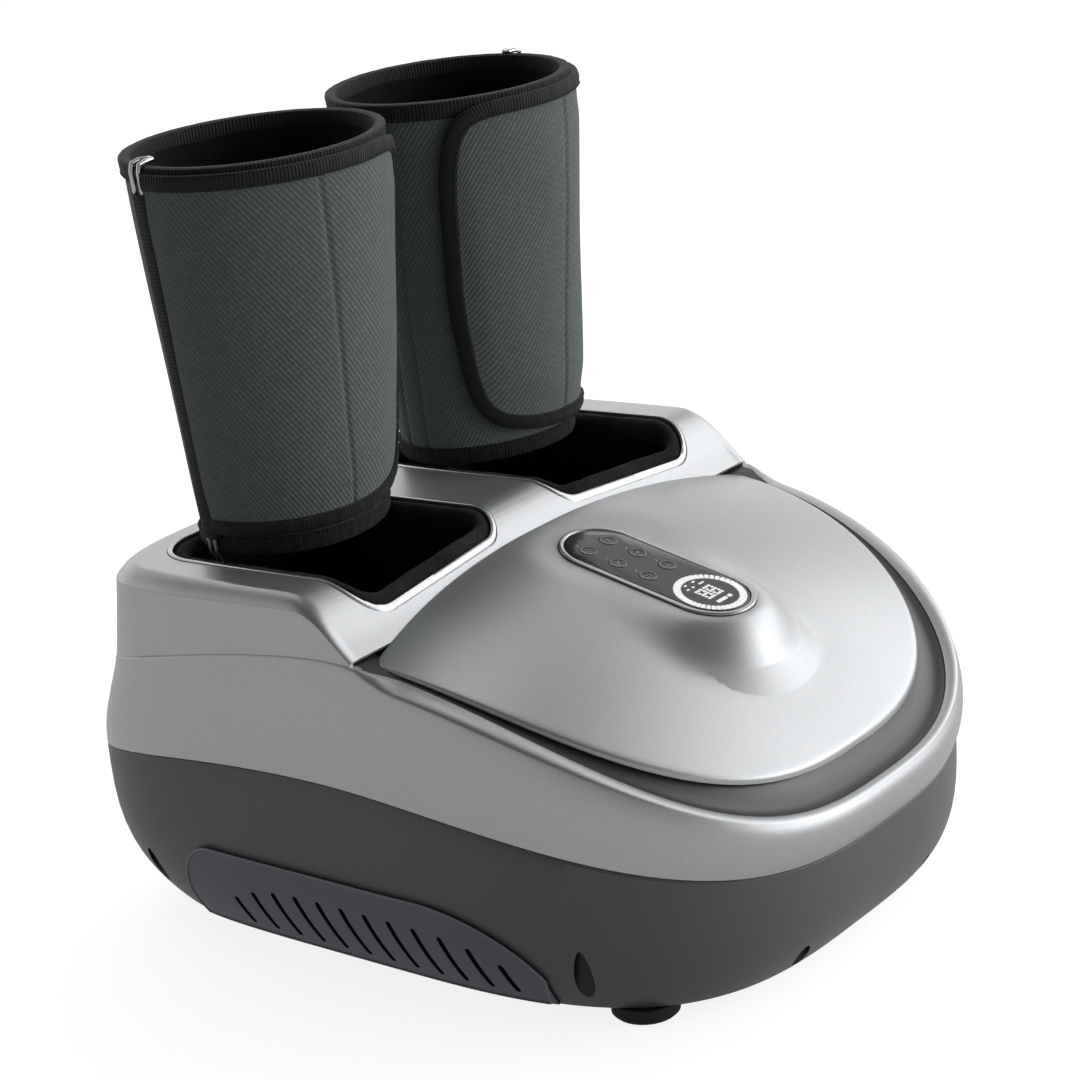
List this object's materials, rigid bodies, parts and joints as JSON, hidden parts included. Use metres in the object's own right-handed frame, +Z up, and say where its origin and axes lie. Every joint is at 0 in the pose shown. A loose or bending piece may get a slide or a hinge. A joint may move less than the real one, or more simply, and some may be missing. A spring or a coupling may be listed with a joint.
{
  "type": "foot and calf massager",
  "caption": "Foot and calf massager with plush-lined foot wells under two padded calf wraps, a domed lid with a tilted touch panel, and kneading heads driven by gears.",
  "frame": {"origin": "centre of the footprint on the floor", "axes": "+Z up, +Y towards the user's side with the foot wells, -Y towards the nose of the lid, +X to the right-hand well"},
  "size_m": [0.3624, 0.4319, 0.4284],
  "materials": {
    "lower_casing_plastic": "satin dark grey moulding",
    "silver_casing_plastic": "satin metallic silver paint on moulded plastic",
    "vent_panel_plastic": "satin blue-grey",
    "bright_trim": "bright silver",
    "plush_fabric": "short black plush",
    "panel_gloss_plastic": "gloss dark grey",
    "display_plastic": "white translucent",
    "circuit_board": "green laminate",
    "key_plastic": "gloss dark grey",
    "rubber": "matte black",
    "steel": "plated",
    "black_plastic": "matte black",
    "pump_metal": "grey",
    "hose_plastic": "pale silicone",
    "plate_steel": "zinc plated",
    "pinion_brass": "machined",
    "gear_plastic": "natural acetal",
    "head_plastic": "dark grey nylon",
    "heater_fabric": "film heater in cloth",
    "airbag_fabric": "coated cloth",
    "wrap_fabric": "dark teal-grey twill",
    "binding_fabric": "black ribbed tape"
  },
  "bodies": {
    "frame": {"lower_housing": "lower_casing_plastic", "upper_housing": "silver_casing_plastic", "tower_wall": "silver_casing_plastic", "rear_cowl": "silver_casing_plastic", "top_lid": "silver_casing_plastic", "cove_trim": "silver_casing_plastic", "left_vent_panel": "vent_panel_plastic", "right_vent_panel": "vent_panel_plastic", "left_well_trim": "bright_trim", "right_well_trim": "bright_trim", "left_foot_liner": "plush_fabric", "right_foot_liner": "plush_fabric", "left_well_lip": "plush_fabric", "right_well_lip": "plush_fabric", "panel_bezel": "bright_trim", "panel_lens": "panel_gloss_plastic", "display_ring": "display_plastic", "display_board": "circuit_board", "rubber_feet": "rubber", "housing_screws": "steel", "power_inlet": "black_plastic", "control_board": "circuit_board", "air_pump": "pump_metal", "valve_block": "black_plastic", "air_hoses": "hose_plastic", "left_mechanism_plate": "plate_steel", "right_mechanism_plate": "plate_steel", "left_motor": "pump_metal", "right_motor": "pump_metal", "left_heater_pad": "heater_fabric", "right_heater_pad": "heater_fabric", "left_foot_airbag": "airbag_fabric", "right_foot_airbag": "airbag_fabric"},
    "key_1_body": {"key_1": "key_plastic"},
    "key_2_body": {"key_2": "key_plastic"},
    "key_3_body": {"key_3": "key_plastic"},
    "key_4_body": {"key_4": "key_plastic"},
    "key_5_body": {"key_5": "key_plastic"},
    "key_6_body": {"key_6": "key_plastic"},
    "left_rear_kneader": {"left_rear_wheel": "gear_plastic", "left_rear_head": "head_plastic"},
    "left_front_kneader": {"left_front_wheel": "gear_plastic", "left_front_head": "head_plastic"},
    "left_pinion_shaft": {"left_pinion": "pinion_brass"},
    "left_calf_wrap": {"left_wrap": "wrap_fabric", "left_wrap_binding": "binding_fabric", "left_calf_airbag": "airbag_fabric", "left_wrap_stay": "steel"},
    "left_wrap_flap": {"left_flap": "wrap_fabric"},
    "right_rear_kneader": {"right_rear_wheel": "gear_plastic", "right_rear_head": "head_plastic"},
    "right_front_kneader": {"right_front_wheel": "gear_plastic", "right_front_head": "head_plastic"},
    "right_pinion_shaft": {"right_pinion": "pinion_brass"},
    "right_calf_wrap": {"right_wrap": "wrap_fabric", "right_wrap_binding": "binding_fabric", "right_calf_airbag": "airbag_fabric", "right_wrap_stay": "steel"},
    "right_wrap_flap": {"right_flap": "wrap_fabric"}
  },
  "joints": [
    {"name": "key_1_press", "type": "slide", "parent": "frame", "child": "key_1_body", "axis": [0, 0.2156, -0.9765], "range_m": [0, 0.0006], "stiffness_N_per_m": 900, "springref_m": -0.0005},
    {"name": "key_2_press", "type": "slide", "parent": "frame", "child": "key_2_body", "axis": [0, 0.2156, -0.9765], "range_m": [0, 0.0006], "stiffness_N_per_m": 900, "springref_m": -0.0005},
    {"name": "key_3_press", "type": "slide", "parent": "frame", "child": "key_3_body", "axis": [0, 0.2156, -0.9765], "range_m": [0, 0.0006], "stiffness_N_per_m": 900, "springref_m": -0.0005},
    {"name": "key_4_press", "type": "slide", "parent": "frame", "child": "key_4_body", "axis": [0, 0.2156, -0.9765], "range_m": [0, 0.0006], "stiffness_N_per_m": 900, "springref_m": -0.0005},
    {"name": "key_5_press", "type": "slide", "parent": "frame", "child": "key_5_body", "axis": [0, 0.2156, -0.9765], "range_m": [0, 0.0006], "stiffness_N_per_m": 900, "springref_m": -0.0005},
    {"name": "key_6_press", "type": "slide", "parent": "frame", "child": "key_6_body", "axis": [0, 0.2156, -0.9765], "range_m": [0, 0.0006], "stiffness_N_per_m": 900, "springref_m": -0.0005},
    {"name": "left_rear_wheel_spin", "type": "hinge", "parent": "frame", "child": "left_rear_kneader", "pos_m": [-0.0875, 0.034, 0.0425], "axis": [0, 0, 1], "continuous": true},
    {"name": "left_front_wheel_spin", "type": "hinge", "parent": "frame", "child": "left_front_kneader", "pos_m": [-0.0875, -0.038, 0.0425], "axis": [0, 0, 1], "continuous": true},
    {"name": "left_pinion_spin", "type": "hinge", "parent": "frame", "child": "left_pinion_shaft", "pos_m": [-0.0875, 0.082, 0.0425], "axis": [0, 0, 1], "continuous": true},
    {"name": "left_wrap_tilt", "type": "hinge", "parent": "frame", "child": "left_calf_wrap", "pos_m": [-0.0875, 0.1465, 0.2126], "axis": [-1, 0, 0], "range_deg": [0, 30]},
    {"name": "left_flap_open", "type": "hinge", "parent": "left_calf_wrap", "child": "left_wrap_flap", "pos_m": [-0.14141, 0.10166, 0.229], "axis": [0.0863, -0.0198, -0.9961], "range_deg": [0, 60]},
    {"name": "right_rear_wheel_spin", "type": "hinge", "parent": "frame", "child": "right_rear_kneader", "pos_m": [0.0875, 0.034, 0.0425], "axis": [0, 0, 1], "continuous": true},
    {"name": "right_front_wheel_spin", "type": "hinge", "parent": "frame", "child": "right_front_kneader", "pos_m": [0.0875, -0.038, 0.0425], "axis": [0, 0, 1], "continuous": true},
    {"name": "right_pinion_spin", "type": "hinge", "parent": "frame", "child": "right_pinion_shaft", "pos_m": [0.0875, 0.082, 0.0425], "axis": [0, 0, 1], "continuous": true},
    {"name": "right_wrap_tilt", "type": "hinge", "parent": "frame", "child": "right_calf_wrap", "pos_m": [0.0875, 0.1465, 0.2126], "axis": [-1, 0, 0], "range_deg": [0, 30]},
    {"name": "right_flap_open", "type": "hinge", "parent": "right_calf_wrap", "child": "right_wrap_flap", "pos_m": [0.14141, 0.10166, 0.229], "axis": [0.0863, 0.0198, 0.9961], "range_deg": [0, 60]}
  ],
  "couplings": [
    {"joint": "left_front_wheel_spin", "follows": "left_rear_wheel_spin", "ratio": -1},
    {"joint": "left_pinion_spin", "follows": "left_rear_wheel_spin", "ratio": -3},
    {"joint": "right_front_wheel_spin", "follows": "right_rear_wheel_spin", "ratio": -1},
    {"joint": "right_pinion_spin", "follows": "right_rear_wheel_spin", "ratio": -3}
  ]
}
